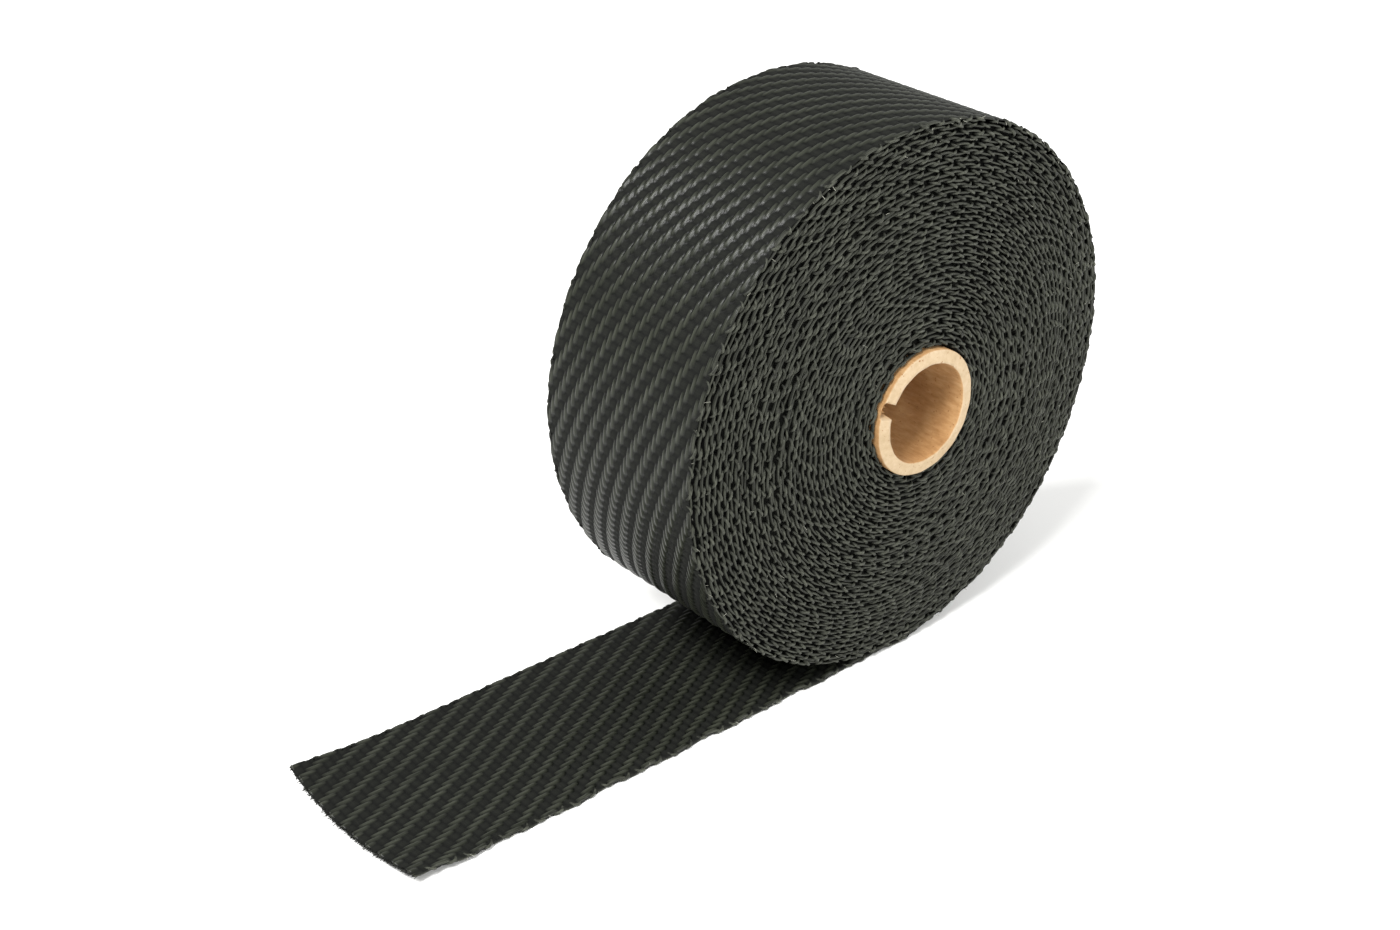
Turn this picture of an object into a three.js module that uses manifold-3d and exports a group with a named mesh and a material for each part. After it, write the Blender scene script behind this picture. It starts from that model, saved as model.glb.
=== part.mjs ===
// A roll of woven heat wrap for exhaust pipes: one long tape wound on a cardboard core,
// lying on its side with the free end of the tape run out along the floor.
//
// Millimetres, +Z up. The roll's axis is parallel to Y. The origin is on the floor, under that
// axis and halfway along the roll. The free end runs towards -X, and the near end faces -Y.

import * as THREE from 'three';
import { mergeVertices } from 'three/addons/utils/BufferGeometryUtils.js';
import Module from 'manifold-3d';

const wasm = await Module();
wasm.setup();

// Driving dimensions

const TAPE_WIDTH = 50.8;       // the standard 2 in width
const TAPE_THICKNESS = 1.48;   // one turn, pressed by the turns around it
const ROLL_RADIUS = 70.6;      // to the outside of the last turn, where it leaves the floor
const TAIL_LENGTH = 144;       // free end, from under the roll's axis to the cut
const CURL_LENGTH = 34;        // last stretch of the free end, which curls up
const CURL_RISE = 2.4;         // how far the cut end stands off the floor

const CORE_BORE = 25.4;        // inside diameter of the cardboard core
const CORE_WALL = 3.4;
const CORE_LENGTH = 50.8;
const CORE_CLEARANCE = 0.3;    // between the core and the first turn
const CORE_SHIFT_X = 1.9;      // the roll is wound a little off the core's centre
const CORE_SHIFT_Z = -1.5;

const DOME_RISE = 3.4;         // how far the inner turns have slid out at the near end
const CORE_PROUD = 1.0;        // how far the core stands out past those turns
const GROOVE_DEPTH = 1.0;      // valley between two ridges on the roll's ends

const NOTCH_ANGLE = 161.5;     // torn place in the core's near rim, in degrees from +X to +Z
const NOTCH_WIDTH = 4.3;
const NOTCH_DEPTH = 3.2;
const NOTCH_PLY = 0.5;         // outermost paper, which is left standing

const ROLL_SEGMENTS = 48;      // flats around the roll
const CORE_SEGMENTS = 48;

// Sizes that follow

const axisHeight = ROLL_RADIUS;
const coreRadius = CORE_BORE / 2 + CORE_WALL;
const boreRadius = coreRadius + CORE_CLEARANCE;
const coreNearEnd = -TAPE_WIDTH / 2 - DOME_RISE - CORE_PROUD;

// The two outer turns are made as one band with flat ends; the rest is turned with ridges.
const bandInnerRadius = ROLL_RADIUS - 2 * TAPE_THICKNESS;
const woundOuterRadius = ROLL_RADIUS - 1.5 * TAPE_THICKNESS;
const ridgeCount = Math.round((bandInnerRadius - boreRadius) / (2 * TAPE_THICKNESS));
const ridgePitch = (bandInnerRadius - boreRadius) / ridgeCount;

// 0 at the bore, 1 at the outside of the roll.
const depthInRoll = (radius) => (radius - boreRadius) / (ROLL_RADIUS - boreRadius);

// How far a turn of this radius has slid towards -Y.
const slideAt = (radius) => DOME_RISE * (1 - depthInRoll(radius) ** 2);

// Helpers

// A closed geometry as a solid that can be joined and cut.
function toSolid(geometry) {
  const bare = geometry.clone();
  bare.deleteAttribute('normal');
  bare.deleteAttribute('uv');
  const merged = mergeVertices(bare, 1e-5);
  return new wasm.Manifold(new wasm.Mesh({
    numProp: 3,
    vertProperties: new Float32Array(merged.attributes.position.array),
    triVerts: new Uint32Array(merged.index.array),
  }));
}

function toMesh(name, solid, material) {
  const { vertProperties, triVerts } = solid.getMesh();
  const geometry = new THREE.BufferGeometry();
  geometry.setAttribute('position', new THREE.BufferAttribute(vertProperties, 3));
  geometry.setIndex(new THREE.BufferAttribute(triVerts, 1));
  geometry.computeVertexNormals();
  const mesh = new THREE.Mesh(geometry, material);
  mesh.name = name;
  return mesh;
}

// Wound tape

// The turns inside the outer band, turned about the roll's axis. Each ridge on the ends is two
// turns wide.
function woundTurns() {
  const near = [];
  const far = [];
  const addRing = (radius, groove) => {
    const slide = slideAt(radius);
    near.push(new THREE.Vector2(radius, -TAPE_WIDTH / 2 - slide + groove));
    far.push(new THREE.Vector2(radius, TAPE_WIDTH / 2 - slide - groove));
  };
  for (let i = 0; i < ridgeCount; i++) {
    addRing(boreRadius + i * ridgePitch, GROOVE_DEPTH);
    addRing(boreRadius + (i + 0.5) * ridgePitch, 0);
  }
  addRing(bandInnerRadius, GROOVE_DEPTH);
  addRing(woundOuterRadius, GROOVE_DEPTH);

  const profile = [...near, ...far.reverse(), near[0].clone()];
  const geometry = new THREE.LatheGeometry(profile, ROLL_SEGMENTS);

  // The inner turns sit round the core, off the roll's own centre.
  const position = geometry.attributes.position;
  for (let i = 0; i < position.count; i++) {
    const radius = Math.hypot(position.getX(i), position.getZ(i));
    const share = 1 - depthInRoll(radius);
    position.setX(i, position.getX(i) + CORE_SHIFT_X * share);
    position.setZ(i, position.getZ(i) + CORE_SHIFT_Z * share);
  }
  return geometry.translate(0, 0, axisHeight);
}

// The last turns and the free end in one outline: along the floor, once round the roll while
// closing in by one thickness, and back out over the top of the free end.
function outerBand() {
  const curl = (distance) => {
    const share = Math.max(0, distance - (TAIL_LENGTH - CURL_LENGTH)) / CURL_LENGTH;
    return CURL_RISE * share * share;
  };
  const tail = [];
  const curlSteps = 6;
  for (let i = 0; i <= curlSteps; i++) {
    const distance = TAIL_LENGTH - (CURL_LENGTH * i) / curlSteps;
    tail.push(new THREE.Vector2(-distance, curl(distance)));
  }

  // One flat of the roll lies on the floor, centred under the axis.
  const turn = [];
  for (let i = 0; i < ROLL_SEGMENTS; i++) {
    const angle = (2 * Math.PI * (i + 0.5)) / ROLL_SEGMENTS;
    const radius = ROLL_RADIUS - (TAPE_THICKNESS * i) / (ROLL_SEGMENTS - 1);
    const scale = 1 / Math.cos(Math.PI / ROLL_SEGMENTS);
    turn.push(new THREE.Vector2(
      radius * scale * Math.sin(angle),
      axisHeight - radius * scale * Math.cos(angle),
    ));
  }

  const top = tail.map((point) => new THREE.Vector2(point.x, point.y + TAPE_THICKNESS));
  const shape = new THREE.Shape([...tail, ...turn, ...top.reverse()]);
  const hole = new THREE.Path();
  hole.absarc(0, axisHeight, bandInnerRadius, 0, 2 * Math.PI, true);
  shape.holes.push(hole);

  const geometry = new THREE.ExtrudeGeometry(shape, {
    depth: TAPE_WIDTH,
    bevelEnabled: false,
    curveSegments: ROLL_SEGMENTS,
  });
  return geometry.rotateX(Math.PI / 2).translate(0, TAPE_WIDTH / 2, 0);
}

// Cardboard core

function coreTube() {
  const inner = CORE_BORE / 2;
  const profile = [
    new THREE.Vector2(inner, 0),
    new THREE.Vector2(coreRadius, 0),
    new THREE.Vector2(coreRadius, CORE_LENGTH),
    new THREE.Vector2(inner, CORE_LENGTH),
    new THREE.Vector2(inner, 0),
  ];
  return new THREE.LatheGeometry(profile, CORE_SEGMENTS);
}

// The torn place: a ragged outline cut from the near end, through all but the outermost paper.
function coreNotch() {
  const half = NOTCH_WIDTH / 2;
  const margin = 1;
  const outline = [
    [-half, -margin], [half, -margin], [0.9 * half, 0.35 * NOTCH_DEPTH],
    [0.45 * half, 0.75 * NOTCH_DEPTH], [0.1 * half, 0.6 * NOTCH_DEPTH],
    [-0.35 * half, NOTCH_DEPTH], [-0.85 * half, 0.5 * NOTCH_DEPTH],
  ].map(([across, along]) => new THREE.Vector2(across, along));

  const geometry = new THREE.ExtrudeGeometry(new THREE.Shape(outline), {
    depth: CORE_WALL - NOTCH_PLY + margin,
    bevelEnabled: false,
  });
  return geometry
    .translate(0, 0, CORE_BORE / 2 - margin)
    .rotateY(THREE.MathUtils.degToRad(90 - NOTCH_ANGLE));
}

// Assembly

const wovenTape = new THREE.MeshStandardMaterial({
  color: 0x2b2c29, roughness: 0.75, metalness: 0,
});
const kraftCardboard = new THREE.MeshStandardMaterial({
  color: 0xb38a5b, roughness: 0.85, metalness: 0,
});

const tape = toMesh(
  'heat_wrap_tape',
  toSolid(woundTurns()).add(toSolid(outerBand())),
  wovenTape,
);

const core = toMesh(
  'cardboard_core',
  toSolid(coreTube()).subtract(toSolid(coreNotch())),
  kraftCardboard,
);
core.position.set(CORE_SHIFT_X, coreNearEnd, axisHeight + CORE_SHIFT_Z);

const roll = new THREE.Group();
roll.add(tape, core);

export default roll;
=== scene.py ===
# %% [markdown]
# # A roll of woven exhaust wrap
# The object is one long, coarse tape of dark mineral yarn, wound on a cardboard core and laid on
# its side. Its free end runs out along the floor. This lesson starts from the CAD solids, keeps
# their places and sizes, and replaces their plain faces with yarn.

# %% Load the CAD model
import math
import random
import bmesh
import bpy
import numpy as np
from mathutils import Matrix, Vector


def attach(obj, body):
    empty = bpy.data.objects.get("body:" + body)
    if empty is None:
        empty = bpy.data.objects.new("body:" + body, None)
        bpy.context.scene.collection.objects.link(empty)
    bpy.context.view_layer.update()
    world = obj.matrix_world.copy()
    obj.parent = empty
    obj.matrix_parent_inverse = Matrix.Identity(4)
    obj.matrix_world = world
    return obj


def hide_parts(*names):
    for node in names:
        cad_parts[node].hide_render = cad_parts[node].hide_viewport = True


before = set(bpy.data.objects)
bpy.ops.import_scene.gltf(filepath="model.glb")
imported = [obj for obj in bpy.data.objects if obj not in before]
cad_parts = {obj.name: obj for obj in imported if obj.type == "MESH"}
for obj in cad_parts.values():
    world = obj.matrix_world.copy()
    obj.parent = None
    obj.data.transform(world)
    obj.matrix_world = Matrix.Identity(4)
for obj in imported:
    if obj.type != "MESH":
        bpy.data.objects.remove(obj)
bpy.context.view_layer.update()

# %% [markdown]
# ## Sizes
# Every size is the real one, in metres, and the same as in the CAD model. The tape's own
# coordinates are used for nearly everything: how far along the tape (from the cut end), how far
# across it (the near edge is the low one) and how high above its middle, towards the side that
# faces the core once it is wound.

# %% Sizes of the roll
MM = 0.001
tape_width = 50.8 * MM
turn_thickness = 1.48 * MM
roll_radius = 70.6 * MM
tail_length = 144 * MM
curl_length, curl_rise = 34 * MM, 2.4 * MM
cut_bow = 1.8 * MM   # the cut is not quite straight
slack_width = 0.985   # the free end draws in a little where no turns press it
edge_wander = 0.5 * MM   # and its near edge runs a little wavy
core_bore_radius = 12.7 * MM
core_radius = core_bore_radius + 3.4 * MM
wound_bore_radius = core_radius + 0.3 * MM
core_shift = Vector((1.9 * MM, 0, -1.5 * MM))
dome_rise, core_proud, core_length = 3.4 * MM, 1.0 * MM, 50.8 * MM

turns = (roll_radius - wound_bore_radius) / turn_thickness
first_middle, last_middle = core_radius + 0.5 * MM, roll_radius - turn_thickness / 2
wound_length = math.pi * (last_middle ** 2 - first_middle ** 2) / turn_thickness
print(f"{turns:.1f} turns, {wound_length + tail_length:.2f} m of tape")

# %% [markdown]
# ## Winding
# Each piece of the tape is first modelled flat, where a weave is easy to lay out, and then moved
# point by point onto the roll. The free end stays flat and only curls up at its cut, at the
# corners more than in the middle. From under the axis on, the tape climbs round the roll on a
# spiral that closes in by one thickness a turn. The inner turns have slid towards the near end
# and sit round the core, off the roll's own centre. Small slow waves keep the turns from looking
# machined.

# %% From the flat tape to the roll
wobble, wobble_waves = 0.12 * MM, (23.1 * MM, 41.3 * MM)   # of a turn's radius
drift, drift_waves = 0.16 * MM, (31 * MM, 12.7 * MM)   # of a turn towards one end or the other
edge_waves = (3.1 * MM, 10.5 * MM)
wobble_start, slack_end = 20 * MM, 60 * MM   # past where the tape leaves the floor
slack_drift = 0.15   # the free end lies straighter than the turns
flat_curl = 0.2   # the middle of the cut curls up this much of what its corners do


def core_share(radius):
    """1 at the innermost turn and 0 at the last."""
    return np.clip(1 - (radius - wound_bore_radius) / (roll_radius - wound_bore_radius), 0, 1)


def slide(share):
    """How far a turn has slid towards the near end."""
    return dome_rise * (1 - (1 - share) ** 2)


def wind(along, across, height):
    """Points of the flat tape as points of the roll, all in metres."""
    wound = np.maximum(along - tail_length, 0.0)
    start = roll_radius - turn_thickness / 2
    root = np.sqrt(np.maximum(start ** 2 - turn_thickness * wound / math.pi, 1e-8))
    angle = (start - root) * 2 * math.pi / turn_thickness
    share = core_share(root)
    free = 1 - np.clip(wound / slack_end, 0, 1)

    first, second = wobble_waves
    waves = np.sin(along / first) * np.sin(along / second + 1)
    radius = root - height + np.clip(wound / wobble_start, 0, 1) * wobble * waves
    curl = np.clip((curl_length - along) / curl_length, 0, 1.1)
    corner = (2 * across / tape_width) ** 2
    bow = cut_bow * (1 - corner) * curl
    rise = curl_rise * curl ** 2 * (flat_curl + (1 - flat_curl) * corner)
    x = np.where(along > tail_length, radius * np.sin(angle), along - tail_length - bow)
    z = np.where(along > tail_length, roll_radius - radius * np.cos(angle),
                 turn_thickness / 2 + height + rise)
    x = x + core_shift.x * share
    z = np.maximum(z + core_shift.z * share, 0)   # the floor keeps loose yarn from hanging lower

    first, second = drift_waves
    waves = np.sin(along / first) + np.sin(along / second + 2)
    y = across * (1 - (1 - slack_width) * free) + drift * waves * (1 - (1 - slack_drift) * free)
    near = np.clip(-2 * across / tape_width, 0, 1) ** 3
    first, second = edge_waves
    y = y + free * near * edge_wander * np.sin(along / first) * np.sin(along / second)
    y = y - slide(share)
    return np.stack([x, y, z], axis=-1)


print("Middle of the cut, metres:", wind(0.0, 0.0, 0.0).round(4))

# %% [markdown]
# Edge yarns lie less evenly than the sheet. The free end is the most even, and the outer turns
# are looser than the inner ones, because fewer turns press on them. Each wound mesh keeps its
# flat place as an attribute, so that a material can follow the yarn.

# %% Wind a mesh
loose_reach = 2.6   # metres of tape, from its cut end, in which it lies looser
free_end_unevenness = 0.4
edge_ripple, height_ripple, along_ripple = 0.10 * MM, 0.06 * MM, 0.45 * MM
height_swell = 0.2


def ripple(along, seed):
    """Smooth unevenness, mostly between -1 and 1, that does not repeat along the tape."""
    waves = [np.sin(along * 2 * math.pi / (length * MM) + shift * (seed + 1))
             for length, shift in ((6.1, 1.0), (9.7, 2.3), (15.3, 4.1), (27.1, 0.7))]
    return sum(waves) / 3


def keep_flat_place(mesh):
    """Keeps each point's present place as the attribute that the yarn materials read."""
    flat = np.empty(len(mesh.vertices) * 3, dtype=np.float32)
    mesh.vertices.foreach_get("co", flat)
    mesh.attributes.new("flat", "FLOAT_VECTOR", "POINT").data.foreach_set("vector", flat)
    return flat.reshape(-1, 3)


def wind_mesh(mesh, uneven=False):
    """Winds a mesh that was made flat."""
    along, across, height = keep_flat_place(mesh).T.astype(float)
    if uneven:
        loose = np.where(along < tail_length, free_end_unevenness,
                         1 + np.clip((loose_reach - along) / loose_reach, 0, 1))
        across = across + np.sign(across) * edge_ripple * ripple(along, 0)
        height = height * (1 + height_swell * loose * ripple(along, 1))
        height = height + height_ripple * loose * ripple(along, 2)
        along = along + loose * along_ripple * ripple(along, 3)
    mesh.vertices.foreach_set("co", wind(along, across, height).ravel().astype(np.float32))
    mesh.update()

# %% [markdown]
# ## Handing a piece over
# Each piece rides with the CAD model's one body and takes the place of a CAD node.

# %% Finish a piece
def finish_piece(name, mesh, material, node):
    """A mesh as a finished piece that rides with the CAD model and stands for one node."""
    mesh.name = name
    piece = bpy.data.objects.new(name, mesh)
    bpy.context.collection.objects.link(piece)
    mesh.polygons.foreach_set("use_smooth", [True] * len(mesh.polygons))
    mesh.materials.append(material)
    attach(piece, "root")
    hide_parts(node)
    mesh.calc_loop_triangles()
    print(f"{name}: {len(mesh.loop_triangles)} triangles")
    return piece


def mesh_from(bm):
    """A bmesh as a plain mesh. The bmesh is given up."""
    mesh = bpy.data.meshes.new("piece")
    bm.to_mesh(mesh)
    bm.free()
    return mesh

# %% [markdown]
# ## Helpers for materials
# A material is a small graph of nodes. One function adds a node, sets its options and links its
# inputs, and one turns the colours, which are picked as sRGB hex values, into linear ones.

# %% Node helper and colours
def colour(hex_value):
    """An sRGB hex colour as linear RGBA."""
    channels = [int(hex_value[i:i + 2], 16) / 255 for i in (1, 3, 5)]
    linear = [c / 12.92 if c <= 0.04045 else ((c + 0.055) / 1.055) ** 2.4 for c in channels]
    return (*linear, 1.0)


def new_material(name):
    """An empty node material and its tree."""
    material = bpy.data.materials.new(name)
    material.use_nodes = True
    tree = material.node_tree
    tree.nodes.clear()
    return material, tree


def add(tree, kind, options=None, **inputs):
    """Adds a node. Options set its own settings, inputs set or link its sockets."""
    node = tree.nodes.new(kind)
    for key, value in (options or {}).items():
        setattr(node, key, value)
    for key, value in inputs.items():
        name = key.replace("_", " ")
        socket = node.inputs[int(key[1:])] if key[1:].isdigit() else node.inputs[name]
        if isinstance(value, bpy.types.NodeSocket):
            tree.links.new(value, socket)
        else:
            socket.default_value = value
    return node


def ramp(tree, factor, stops):
    """A colour ramp from (place, hex colour) stops."""
    node = add(tree, "ShaderNodeValToRGB", Fac=factor)
    elements = node.color_ramp.elements
    while len(elements) < len(stops):
        elements.new(0.5)
    for element, (place, hex_value) in zip(elements, stops):
        element.position = place
        element.color = colour(hex_value)
    return node.outputs["Color"]

# %% [markdown]
# ## Yarn
# The tape is woven from thick bundles of fine, smooth mineral filament, dyed near black. Smooth
# filament gives a satin gleam along each float, and the strands in a bundle show as lines that
# run with it. The lines are a noise stretched along the yarn, about 0.4 mm from one to the next.
# Where a warp end lies on top they run along the tape, and where a weft yarn does they run across
# it, so the mesh carries an attribute that says which it is. Little light reaches the hollows
# between yarns, so a second attribute, the crown, takes the colour from black in the hollows to a
# dark, slightly olive grey on top. The warp is glossy and the weft, which is bent round it, is
# matt. Most of what is seen is the gleam of the lights on the warp.

# %% Yarn material
strand_scale, cross_strand_scale = (200, 2600, 2600), (2600, 200, 2600)   # cells per metre
patch_scale, patch_share = (60, 160, 160), 0.3   # slower unevenness of the dye
strand_relief = 0.15 * MM
yarn_specular = 0.16   # under the usual 0.5: the pale floor would otherwise grey the dark yarn
matt_roughness = 0.8
edge_shade_depth, edge_shade_end = 1.3 * MM, 0.1 * MM   # dark this far inside the edge, light outside


def strand_lines(tree, flat, scale):
    """A noise on the flat tape, stretched by its scale per metre in each direction."""
    place = add(tree, "ShaderNodeMapping", Vector=flat, Scale=scale)
    return add(tree, "ShaderNodeTexNoise", Vector=place.outputs[0],
               Scale=1.0, Detail=2.0, Roughness=0.55).outputs["Fac"]


def yarn_material(name, woven, colours, roughness, strand_bump):
    """Yarn from three colours: in the hollows, and the darker and the lighter ones on top. Woven
    yarn reads its crown from the mesh, and other yarn is dark towards the inside of the tape."""
    hollow, middle, light = colours
    material, tree = new_material(name)
    flat = add(tree, "ShaderNodeAttribute", {"attribute_name": "flat"}).outputs["Vector"]
    lines = strand_lines(tree, flat, strand_scale)
    if woven:
        warp = add(tree, "ShaderNodeAttribute", {"attribute_name": "warp_on_top"}).outputs["Fac"]
        cross_lines = strand_lines(tree, flat, cross_strand_scale)
        lines = add(tree, "ShaderNodeMix", {"data_type": "FLOAT"}, _0=warp,
                    _2=cross_lines, _3=lines).outputs[0]
        crown = add(tree, "ShaderNodeAttribute", {"attribute_name": "crown"}).outputs["Fac"]
    else:
        across = add(tree, "ShaderNodeSeparateXYZ", Vector=flat).outputs["Y"]
        outward = add(tree, "ShaderNodeMath", {"operation": "ABSOLUTE"}, _0=across).outputs[0]
        crown = add(tree, "ShaderNodeMapRange", Value=outward,
                    From_Min=tape_width / 2 - edge_shade_depth,
                    From_Max=tape_width / 2 + edge_shade_end).outputs[0]
    patches = strand_lines(tree, flat, patch_scale)
    shade = add(tree, "ShaderNodeMix", {"data_type": "FLOAT"}, _0=patch_share,
                _2=lines, _3=patches).outputs[0]
    top = ramp(tree, shade, [(0.35, middle), (0.65, light)])
    base = add(tree, "ShaderNodeMix", {"data_type": "RGBA"}, _0=crown,
               _6=colour(hollow), _7=top).outputs[2]
    glossy = warp if woven else crown
    gloss = add(tree, "ShaderNodeMapRange", Value=glossy, To_Min=matt_roughness,
                To_Max=roughness).outputs[0]
    bump = add(tree, "ShaderNodeBump", Height=lines, Strength=strand_bump, Distance=strand_relief)
    shader = add(tree, "ShaderNodeBsdfPrincipled", Base_Color=base, Roughness=gloss,
                 Normal=bump.outputs[0], Specular_IOR_Level=yarn_specular)
    add(tree, "ShaderNodeOutputMaterial", Surface=shader.outputs[0])
    return material


woven_yarn = yarn_material("Mineral yarn, woven", True, ("#060705", "#1f211b", "#35372f"),
                           roughness=0.32, strand_bump=0.3)
edge_yarn = yarn_material("Mineral yarn, selvedge", False, ("#060705", "#171813", "#4d4f45"),
                          roughness=0.34, strand_bump=1.0)
print("Yarn materials:", woven_yarn.name, "/", edge_yarn.name)

# %% [markdown]
# ## The weave
# The photograph shows a two-over, two-under twill with 42 warp ends across the tape and a weft
# yarn every 2.43 mm. Its ribs step one end sideways for every pick, which gives the steep
# diagonal. The surface is a fine grid whose points are raised to the uppermost yarn: a warp end
# waves over two picks and under two, a weft yarn does the opposite, and each has a rounded
# section. That is real relief, so the outline and the shadows are right too.

# %% Height of the twill
warp_ends = 42
end_width = tape_width / warp_ends
pick = 2.43 * MM
warp_wave, weft_wave, yarn_half = 0.38 * MM, 0.16 * MM, 0.34 * MM
warp_roundness, weft_roundness = 0.84, 0.80   # 1 would be a half circle
weft_dome_share = 0.8   # and the weft is a little flatter still
float_flatness = 1.4


def float_wave(phase):
    """A wave with long flat floats and quick crossings."""
    return np.tanh(float_flatness * np.cos(math.pi / 2 * phase)) / math.tanh(float_flatness)


def dome(place, roundness):
    """The rounded section of a yarn, 0 in its middle and lower towards its sides, from a place
    that grows by one from yarn to yarn."""
    across = 2 * (place - np.floor(place + 1e-6) - 0.5)
    return np.sqrt(np.maximum(1 - roundness * across ** 2, 0)) - 1


def twill(along, across, side):
    """Height of the uppermost yarn over the tape's middle, and 1 where it is a warp end.
    Side is 1 for the face that is outside on the roll, and -1 for the one that faces in."""
    end, row = (across + tape_width / 2) / end_width, along / pick
    end_no, row_no = np.floor(end + 1e-6), np.floor(row + 1e-6)
    warp = side * warp_wave * float_wave(row - end_no - 1)
    warp = warp + yarn_half * (1 + dome(end, warp_roundness))
    weft = -side * weft_wave * float_wave(row_no - end)
    weft = weft + yarn_half * (1 + weft_dome_share * dome(row, weft_roundness))
    return np.maximum(warp, weft), (warp > weft).astype(np.float32)


print(f"Twill: {warp_ends} ends of {end_width / MM:.2f} mm, a pick every {pick / MM:.2f} mm")

# %% [markdown]
# A grid is made at the right size, one side of the tape at a time. Three points to a warp end and
# four to a pick are enough, because the fine lines come from the material.

# %% Flat woven grid
points_per_pick, points_per_end = 4, 3
sheet_width = tape_width - 0.8 * MM   # at the edges, yarns of their own stand a little further out
weft_crown = 0.4   # painted shade: the weft lies lower, so it is drawn darker
hollow_height, crown_height = 0.5, 0.45   # dark up to here, light this much higher, as shares


def woven_bmesh():
    """An empty bmesh with the two values that the woven yarn's material reads."""
    bm = bmesh.new()
    for layer in ("warp_on_top", "crown"):
        bm.verts.layers.float.new(layer)
    return bm


def woven_grid(bm, start, rows, side):
    """Adds one face of the tape from start along it, rows picks long, to a bmesh."""
    length = rows * pick
    made = bmesh.ops.create_grid(bm, x_segments=rows * points_per_pick,
                                 y_segments=warp_ends * points_per_end, size=0.5)
    verts = made["verts"]
    bmesh.ops.transform(bm, verts=verts, matrix=Matrix.Translation((start + length / 2, 0, 0))
                        @ Matrix.Diagonal((length, tape_width, 1, 1)))
    if side > 0:
        bmesh.ops.reverse_faces(bm, faces=list({f for v in verts for f in v.link_faces}))
    return verts


def raise_twill(bm, verts, side):
    """Raises a flat grid to the twill and notes what lies on top and how high it is."""
    warp_layer, crown_layer = (bm.verts.layers.float[name] for name in ("warp_on_top", "crown"))
    along = np.array([v.co.x for v in verts])
    across = np.array([v.co.y for v in verts])
    height, warp = twill(along, across, side)
    top = warp_wave + yarn_half
    crown = np.clip((height - hollow_height * top) / (crown_height * top), 0, 1)
    crown = crown * np.where(warp > 0, 1, weft_crown)
    for v, h, w, c in zip(verts, height, warp, crown):
        v.co.y *= sheet_width / tape_width
        v.co.z = -side * h
        v[warp_layer], v[crown_layer] = float(w), float(c)

# %% [markdown]
# ## Outer turn
# Only the outside of the last turn is seen, so this piece is one sheet. It starts under the axis,
# where the tape leaves the floor, and goes once round.

# %% Outer turn
start_row = int(tail_length // pick)
turn_rows = int((2 * math.pi * roll_radius) / pick) + 1
bm = woven_bmesh()
verts = woven_grid(bm, start_row * pick, turn_rows, 1)
raise_twill(bm, verts, 1)
mesh = mesh_from(bm)
wind_mesh(mesh)
outer_turn = finish_piece("tape_outer_turn", mesh, woven_yarn, "heat_wrap_tape")

# %% [markdown]
# ## Free end
# Both sides of the free end can be seen, so it has a grid above and one below, joined round the
# rim into one closed sheet.

# %% Free end
tail_rows = start_row + 2
bm = woven_bmesh()
upper = woven_grid(bm, 0.0, tail_rows, -1)
raise_twill(bm, upper, -1)
lower = woven_grid(bm, 0.0, tail_rows, 1)
raise_twill(bm, lower, 1)
rim = [edge for edge in bm.edges if edge.is_boundary]
bmesh.ops.bridge_loops(bm, edges=rim)
bmesh.ops.recalc_face_normals(bm, faces=bm.faces[:])
mesh = mesh_from(bm)
wind_mesh(mesh)
free_end = finish_piece("tape_free_end", mesh, woven_yarn, "heat_wrap_tape")

# %% [markdown]
# ## Edges of the turns
# On the roll's ends the eye sees the tape's selvedge nearly 37 times over: the outermost warp end,
# which waves over two picks and under two, and the weft yarn, which turns round it and slants up
# at one crossing and down at the next. One repeat, four picks long, is swept from small rings,
# then an Array modifier lays it all along the ten metres and winding puts it in place. The first
# helper sweeps a ring along a list of points.

# %% Sweep a ring
def sweep(bm, points, across, up, sides):
    """Sweeps an oval ring along points by extruding its edge from one to the next. Across and up
    are half the oval's width and height."""
    points = [Vector(p) for p in points]
    ring = bmesh.ops.create_circle(bm, segments=sides, radius=1.0)["verts"]
    heading = (points[1] - points[0]).normalized()
    turn = Vector((1, 0, 0)).rotation_difference(heading).to_matrix().to_4x4()
    stand = Matrix(((0, 0, 1, 0), (across, 0, 0, 0), (0, up, 0, 0), (0, 0, 0, 1)))
    bmesh.ops.transform(bm, verts=ring, matrix=Matrix.Translation(points[0]) @ turn @ stand)
    edges = list({edge for v in ring for edge in v.link_edges})
    for i in range(1, len(points)):
        made = bmesh.ops.extrude_edge_only(bm, edges=edges)["geom"]
        ring = [g for g in made if isinstance(g, bmesh.types.BMVert)]
        edges = [g for g in made if isinstance(g, bmesh.types.BMEdge)
                 and g.verts[0] in ring and g.verts[1] in ring]
        after = points[min(i + 1, len(points) - 1)] - points[i - 1]
        turn = heading.rotation_difference(after).to_matrix().to_4x4()
        heading = after.normalized()
        move = Matrix.Translation(points[i]) @ turn @ Matrix.Translation(-points[i - 1])
        bmesh.ops.transform(bm, verts=ring, matrix=move)

# %% [markdown]
# The warp end runs a little inside the edge. Each turn of the weft is half a wave: it comes out
# from inside the tape, passes round the warp end and goes back in.

# %% One repeat of the selvedge
yarn_sides = 6
repeat_picks = 4
edge_end_inset = 0.75 * MM
edge_end_half = (0.50 * MM, 0.30 * MM)   # across the tape and up
loop_root, loop_stand = 1.30 * MM, 1.10 * MM   # inside the edge, and outwards from there
loop_half_length, loop_slant = 0.58 * pick, 0.44 * MM
loop_half = (0.32 * MM, 0.38 * MM)


def selvedge_warp(bm, edge, inward, phase):
    """The outermost warp end over one repeat."""
    steps = 8
    points = []
    for i in range(steps + 1):
        row = repeat_picks * i / steps
        wave = float(float_wave(row - 1))
        points.append((row * pick + phase, edge + inward * edge_end_inset, -warp_wave * wave))
    sweep(bm, points, *edge_end_half, yarn_sides)


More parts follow.
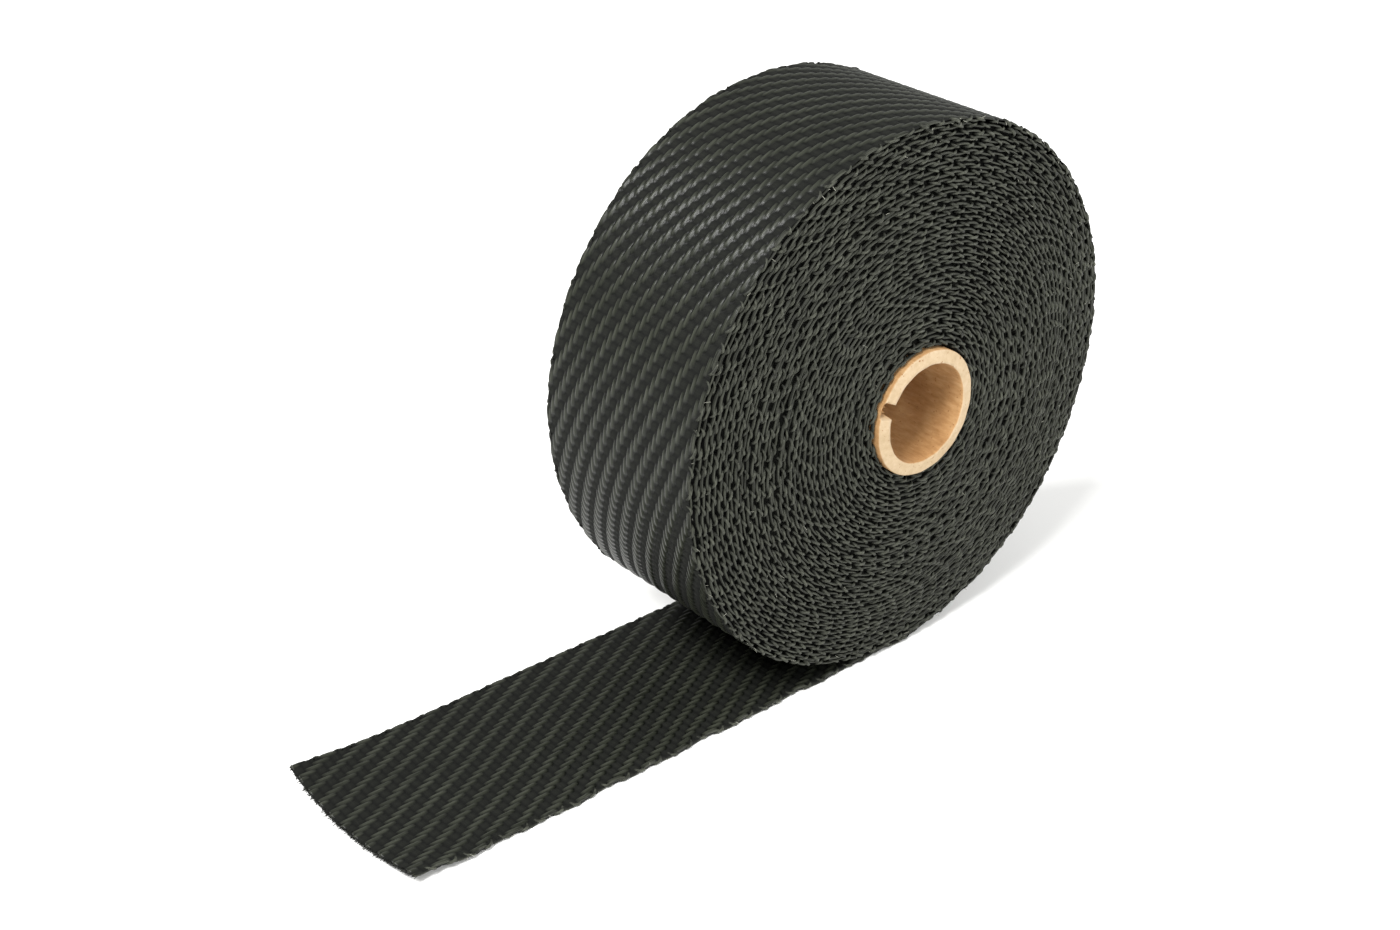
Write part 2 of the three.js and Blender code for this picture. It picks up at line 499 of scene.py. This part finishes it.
def selvedge_weft(bm, edge, inward, phase):
    """The two places in a repeat where the weft turns round the outermost end."""
    steps = 6
    for row, rise in ((2, 1), (4, -1)):
        points = []
        for i in range(steps + 1):
            t = math.pi * i / steps
            points.append((row * pick + phase - math.cos(t) * loop_half_length,
                           edge + inward * (loop_root - loop_stand * math.sin(t)),
                           rise * math.cos(t) * loop_slant))
        sweep(bm, points, *loop_half, yarn_sides)


def repeat_of(make, edge, inward, phase):
    """One repeat of an edge yarn as a mesh."""
    bm = bmesh.new()
    make(bm, edge, inward, phase)
    bmesh.ops.recalc_face_normals(bm, faces=bm.faces[:])
    return mesh_from(bm)


print(f"A repeat of the selvedge is {repeat_picks * pick / MM:.2f} mm long")

# %% [markdown]
# The Array modifier repeats the mesh end to end. Its result is read back as a plain mesh, and the
# helper object is removed, so no live modifier is left.

# %% Lay the repeat along the tape
repeat_length = repeat_picks * pick
repeat_count = int((wound_length + tail_length) / repeat_length)


def arrayed(mesh, merge):
    """The repeat laid end to end along the whole tape, with its ends merged or left open."""
    helper = bpy.data.objects.new("repeat", mesh)
    bpy.context.collection.objects.link(helper)
    array = helper.modifiers.new("along", "ARRAY")
    array.count = repeat_count
    array.use_relative_offset = False
    array.use_constant_offset = True
    array.constant_offset_displace = (repeat_length, 0, 0)
    array.use_merge_vertices = merge
    array.merge_threshold = 0.02 * MM
    evaluated = helper.evaluated_get(bpy.context.evaluated_depsgraph_get())
    result = bpy.data.meshes.new_from_object(evaluated)
    bpy.data.objects.remove(helper)
    return result


for side, edge, inward, phase in (("near", -tape_width / 2, 1, 0.0),
                                  ("far", tape_width / 2, -1, pick)):
    for yarn, make, merge in (("warp", selvedge_warp, True), ("weft", selvedge_weft, False)):
        mesh = arrayed(repeat_of(make, edge, inward, phase), merge)
        wind_mesh(mesh, uneven=True)
        finish_piece(f"tape_edge_{side}_{yarn}", mesh, edge_yarn, "heat_wrap_tape")

# %% [markdown]
# ## Inside of the winding
# Between the edge yarns the eye falls on the turns a little further in. One ring, spun about the
# roll's axis, fills the winding to nearly two millimetres below the edges, with a ridge for each
# turn.

# %% Inside of the winding
dark_yarn = yarn_material("Mineral yarn, shaded", False, ("#080907", "#0d0e0b", "#12130f"),
                          roughness=0.85, strand_bump=0.3)
end_depth = 1.7 * MM
ridge_depth = 0.4 * MM
ring_steps = 96


def spin_outline(bm, points, centre, steps):
    """Spins a closed outline of points once round a line along Y through the centre."""
    outline = [bm.verts.new(point) for point in points]
    edges = [bm.edges.new((a, b)) for a, b in zip(outline, outline[1:] + outline[:1])]
    bmesh.ops.spin(bm, geom=outline + edges, cent=centre, axis=(0, 1, 0),
                   angle=2 * math.pi, steps=steps, use_merge=True)
    bmesh.ops.recalc_face_normals(bm, faces=bm.faces[:])


half_turns = range(2 * (int(turns) - 1) + 1)
points = []
for sign, order in ((-1, half_turns), (1, reversed(half_turns))):
    for half_turn in order:
        radius = wound_bore_radius + half_turn * turn_thickness / 2
        dip = ridge_depth if half_turn % 2 == 0 else 0
        end = sign * (tape_width / 2 - end_depth - dip) - slide(core_share(radius))
        points.append((radius, end, roll_radius))
bm = bmesh.new()
spin_outline(bm, points, (0, 0, roll_radius), ring_steps)
for v in bm.verts:
    radius = math.hypot(v.co.x, v.co.z - roll_radius)
    v.co += core_shift * float(core_share(radius))
mesh = mesh_from(bm)
keep_flat_place(mesh)
finish_piece("tape_inner_turns", mesh, dark_yarn, "heat_wrap_tape")

# %% [markdown]
# ## Loose fibres
# The mineral yarn is brittle where it is cut or rubbed. At the cut end each warp end opens into a
# small, slightly paler brush, and along the edges single broken filaments catch the light; their
# pale colour is a painted glint.
# Each is a thin three-sided sweep that bends away from its root.

# %% A filament
chance = random.Random(11)
filament_sides = 3


def add_filament(bm, root, lean, length, thickness):
    """A filament from root, which starts off along lean and bends away from it."""
    lean = Vector(lean).normalized()
    sag = Vector([chance.uniform(-0.35, 0.35) for _ in range(3)]) * length
    points = [Vector(root) + lean * length * t + sag * t * t for t in (0, 0.35, 0.7, 1.0)]
    sweep(bm, points, thickness, thickness, filament_sides)

# %% [markdown]
# A brush is nine short filaments, drawn thicker than the real ones are, so that it shows as the
# tuft that many fine ones make.

# %% Brushes at the cut
strands_per_brush, brush_filament = 9, 0.09 * MM

bm = bmesh.new()
for end in range(warp_ends):
    across = (end + 0.5) * end_width - tape_width / 2
    for _ in range(strands_per_brush):
        root = (chance.uniform(0.2, 0.8) * MM, across + chance.uniform(-0.45, 0.45) * MM,
                chance.uniform(-0.45, 0.45) * MM)
        add_filament(bm, root, (-1, chance.uniform(-0.5, 0.5), chance.uniform(-0.3, 0.3)),
                     chance.uniform(0.3, 1.1) * MM, brush_filament)
mesh = mesh_from(bm)
wind_mesh(mesh)
pale_fibre = yarn_material("Mineral filament, broken", False, ("#10110c", "#2b2c23", "#4c4d40"),
                           roughness=0.5, strand_bump=0.3)
finish_piece("tape_cut_end_brushes", mesh, pale_fibre, "heat_wrap_tape")

# %% [markdown]
# Half of the broken filaments are on the free end and the last turn, where they show best
# against the light. The others are anywhere along the tape.

# %% Broken filaments
filament_count, single_filament = 150, 0.04 * MM
outside_length = 0.59   # metres of tape in the free end and the last turn

bm = bmesh.new()
for reach in (outside_length, wound_length):
    for _ in range(filament_count):
        side = chance.choice((-1, 1))
        root = (chance.uniform(0.0, reach), side * (tape_width / 2 - 0.2 * MM),
                chance.uniform(-0.6, 0.6) * MM)
        lean = (chance.uniform(-1, 1), side * chance.uniform(0.3, 1.0), chance.uniform(-0.8, 0.8))
        add_filament(bm, root, lean, chance.uniform(0.4, 1.2) * MM, single_filament)
mesh = mesh_from(bm)
wind_mesh(mesh)
# Pale colours: a painted glint on the dark broken filaments
glint_fibre = yarn_material("Mineral filament, painted glint", False, ("#4a4a40", "#8c8c80", "#b8b8aa"),
                             roughness=0.4, strand_bump=0.3)
finish_piece("tape_broken_filaments", mesh, glint_fibre, "heat_wrap_tape")

# %% [markdown]
# ## Cardboard
# The core is a tube wound from strips of kraft paper. The paper's faces are warm brown, and its
# cut rim shows the paler inside of the sheets, so the mesh carries an attribute, cut, which is one
# on the rim. It is matt, with faint long fibres and a few small specks.

# %% Cardboard material
fibre_scale = (900, 250, 900)   # about 1 mm wide and 4 mm long, along the tube
cloud_scale, cloud_share = 90.0, 0.45   # slow patches, a centimetre or so
speck_scale, speck_colour = 1400.0, "#8a6238"
paper_relief = 0.1 * MM


def cardboard_material(name, kraft, cut_edge):
    """Cardboard from three colours, dark to light, for its faces and three for its cut edge."""
    material, tree = new_material(name)
    place = add(tree, "ShaderNodeTexCoord").outputs["Object"]
    fibre_place = add(tree, "ShaderNodeMapping", Vector=place, Scale=fibre_scale)
    fibres = add(tree, "ShaderNodeTexNoise", Vector=fibre_place.outputs[0],
                 Scale=1.0, Detail=6.0, Roughness=0.65).outputs["Fac"]
    cloud = add(tree, "ShaderNodeTexNoise", Vector=place,
                Scale=cloud_scale, Detail=3.0).outputs["Fac"]
    shade = add(tree, "ShaderNodeMix", {"data_type": "FLOAT"}, _0=cloud_share,
                _2=fibres, _3=cloud).outputs[0]
    places = (0.32, 0.5, 0.7)
    cut = add(tree, "ShaderNodeAttribute", {"attribute_name": "cut"}).outputs["Fac"]
    base = add(tree, "ShaderNodeMix", {"data_type": "RGBA"}, _0=cut,
               _6=ramp(tree, shade, list(zip(places, kraft))),
               _7=ramp(tree, shade, list(zip(places, cut_edge)))).outputs[2]
    grain = add(tree, "ShaderNodeTexNoise", Vector=place,
                Scale=speck_scale, Detail=1.0).outputs["Fac"]
    speck = ramp(tree, grain, [(0.70, "#000000"), (0.74, "#ffffff")])
    base = add(tree, "ShaderNodeMix", {"data_type": "RGBA"}, _0=speck,
               _6=base, _7=colour(speck_colour)).outputs[2]
    bump = add(tree, "ShaderNodeBump", Height=fibres, Strength=0.5, Distance=paper_relief)
    shader = add(tree, "ShaderNodeBsdfPrincipled", Base_Color=base, Roughness=0.85,
                 Normal=bump.outputs[0])
    add(tree, "ShaderNodeOutputMaterial", Surface=shader.outputs[0])
    return material


kraft_cardboard = cardboard_material("Kraft cardboard", ("#8c6438", "#a67e50", "#bc986a"),
                                     ("#a18b69", "#b09a7b", "#bca98d"))
print("Cardboard material:", kraft_cardboard.name)

# %% [markdown]
# ## Core
# The tube is spun from its section in many small steps, so that the torn place in its near rim
# can be pushed down into it. The section has rows of points along the wall where the tear needs
# them, and points across the rim where one paper ends and the next begins. Its corners are
# rubbed a little round.

# %% Core tube
core_wall = core_radius - core_bore_radius
near_end = -tape_width / 2 - dome_rise - core_proud
core_centre = Vector((0, 0, roll_radius)) + core_shift
core_steps = 200
inner_rub, outer_rub = 0.15 * MM, 0.12 * MM
near_rows = [row * MM for row in (0.25, 0.7, 1.2, 1.8, 2.4, 3.0, 3.6, 4.4, 12, 25, 38)]
rows = [0.0, *near_rows, core_length - 0.3 * MM, core_length]
papers = [depth * MM for depth in (0.8, 1.6, 2.4, 2.88, 2.92)]   # outward through the wall

inner = [(core_bore_radius + (inner_rub if row in (rows[0], rows[-1]) else 0), near_end + row)
         for row in rows]
far_rim = [(core_bore_radius + paper, near_end + core_length) for paper in papers]
outer = [(core_radius - (outer_rub if row in (rows[0], rows[-1]) else 0), near_end + row)
         for row in reversed(rows)]
near_rim = [(core_bore_radius + paper, near_end) for paper in reversed(papers)]
bm = bmesh.new()
spin_outline(bm, [(core_centre.x + radius, y, core_centre.z)
                  for radius, y in inner + far_rim + outer + near_rim], core_centre, core_steps)
print(f"Core: {len(bm.verts)} points, {core_wall / MM:.1f} mm wall")

# %% [markdown]
# Each point near the torn place is pushed in by a ragged depth, the outermost paper less than the
# rest. Elsewhere the near rim waves a little, and it stands further out at the bore than outside.

# %% Torn place and rim
notch_angle, notch_half_width, notch_depth = math.radians(161.5), 2.15 * MM, 3.2 * MM
notch_side = 4.5   # how steep the tear's sides are
outermost_paper, outer_paper_drop = 2.9 * MM, 0.9 * MM   # where it starts, how deep it is torn
dent_reach, dent_end = 4.2 * MM, 4.4 * MM   # points move less with depth, and none past here
rim_raise, rim_drop = 0.5 * MM, 0.1 * MM   # out at the bore, and all of the rim in
rim_thickness = 0.3 * MM   # the near rim's points lie within this
cut_thickness = 0.2 * MM   # the cut edge's colour ends this far from the ends

cut = bm.verts.layers.float.new("cut")
for v in bm.verts:
    depth = v.co.y - near_end
    v[cut] = 1.0 if min(depth, core_length - depth) < cut_thickness else 0.0
    angle = math.atan2(v.co.z - core_centre.z, v.co.x - core_centre.x)
    arc = (angle - notch_angle + math.pi) % (2 * math.pi) - math.pi
    wall = math.hypot(v.co.x - core_centre.x, v.co.z - core_centre.z) - core_bore_radius
    place = abs(arc * core_radius) / notch_half_width
    if place < 1 and depth < dent_reach:
        ragged = 1 + 0.20 * math.sin(arc * 60 + wall / MM) + 0.15 * math.sin(arc * 143 + 1)
        reach = notch_depth if wall < outermost_paper else outer_paper_drop
        drop = reach * min(1.0, notch_side * (1 - place)) * ragged
        v.co.y += max(0.0, drop - depth) * (1 - depth / dent_end)
        v[cut] = 0.0
    elif depth < rim_thickness:
        v.co.y += (0.10 * math.sin(angle * 3 + 1) + 0.05 * math.sin(angle * 17)) * MM
        v.co.y -= rim_raise * max(0.0, 1 - wall / core_wall) - rim_drop
mesh = mesh_from(bm)
finish_piece("core_tube", mesh, kraft_cardboard, "cardboard_core")

# %% [markdown]
# ## Floor, light and camera
# A pale floor and soft lights match the photograph's plain white setting. The floor reaches far
# enough to fill the photograph's view.

# %% Floor
floor_reach = 3.0
bm = bmesh.new()
bmesh.ops.create_grid(bm, x_segments=1, y_segments=1, size=floor_reach)
floor = bpy.data.objects.new("floor", mesh_from(bm))
bpy.context.collection.objects.link(floor)
floor_material, tree = new_material("Pale floor")
shader = add(tree, "ShaderNodeBsdfPrincipled", Base_Color=colour("#f4f4f2"), Roughness=0.9)
add(tree, "ShaderNodeOutputMaterial", Surface=shader.outputs[0])
floor.data.materials.append(floor_material)
print(f"Floor: {floor_reach:.0f} m to each side")

# %% [markdown]
# Small lights, high on the left, give the dark yarn its gleam: the key from the near side, and one
# from behind the roll for the ribs at the upper left. Weaker ones open up the near end, and an
# even white world keeps the shadows pale.

# %% Lights
roll_middle = Vector((-0.02, 0, 0.06))
world_strength = 0.55


def soft_light(name, place, size, power):
    """A square soft light that looks at the roll."""
    data = bpy.data.lights.new(name, "AREA")
    data.size, data.energy = size, power
    light = bpy.data.objects.new(name, data)
    light.location = place
    aim = roll_middle - Vector(place)
    light.rotation_euler = aim.to_track_quat("-Z", "Y").to_euler()
    bpy.context.collection.objects.link(light)


soft_light("key", (-0.95, -0.35, 1.2), 0.4, 24)
soft_light("gleam", (-0.8, 0.43, 1.2), 0.3, 15)
soft_light("front", (-0.1, -1.3, 0.9), 0.35, 10)
soft_light("right", (1.1, -0.5, 0.9), 0.8, 9)
world = bpy.data.worlds.new("studio")
world.use_nodes = True
world.node_tree.nodes["Background"].inputs["Color"].default_value = (1, 1, 1, 1)
world.node_tree.nodes["Background"].inputs["Strength"].default_value = world_strength
bpy.context.scene.world = world
bpy.context.scene.view_settings.view_transform = "Standard"
print("Lights:", ", ".join(light.name for light in bpy.data.lights))

# %% [markdown]
# The camera stands where the photograph was taken from, a little rolled, as fitted to the rims
# and the free end.

# %% Camera
azimuth, elevation, roll = (math.radians(v) for v in (-42.674, 28.414, 2.020))
distance = 482.351 * MM
frame_width, focal_length = 1400, 2037.98   # pixels of the photograph
sensor_width = 36.0
middle = Vector((-43.57, 0, 56.767)) * MM
aside, above = 0.36 * MM, 0.90 * MM   # last correction, in the picture's own directions
back = Vector((math.sin(azimuth) * math.cos(elevation), -math.cos(azimuth) * math.cos(elevation),
               math.sin(elevation)))
level = Vector((math.cos(azimuth), math.sin(azimuth), 0))
up = back.cross(level)
right = level * math.cos(roll) + up * math.sin(roll)
top = up * math.cos(roll) - level * math.sin(roll)
camera_data = bpy.data.cameras.new("camera")
camera_data.sensor_width = sensor_width
camera_data.lens = focal_length / frame_width * sensor_width
camera_data.clip_start = 0.01
camera = bpy.data.objects.new("camera", camera_data)
target = middle + right * aside + top * above
camera.matrix_world = (Matrix.Translation(target + back * distance)
                       @ Matrix((right, top, back)).transposed().to_4x4())
bpy.context.collection.objects.link(camera)
bpy.context.scene.camera = camera
print(f"Camera: {camera_data.lens:.1f} mm lens, {distance:.2f} m from its target")
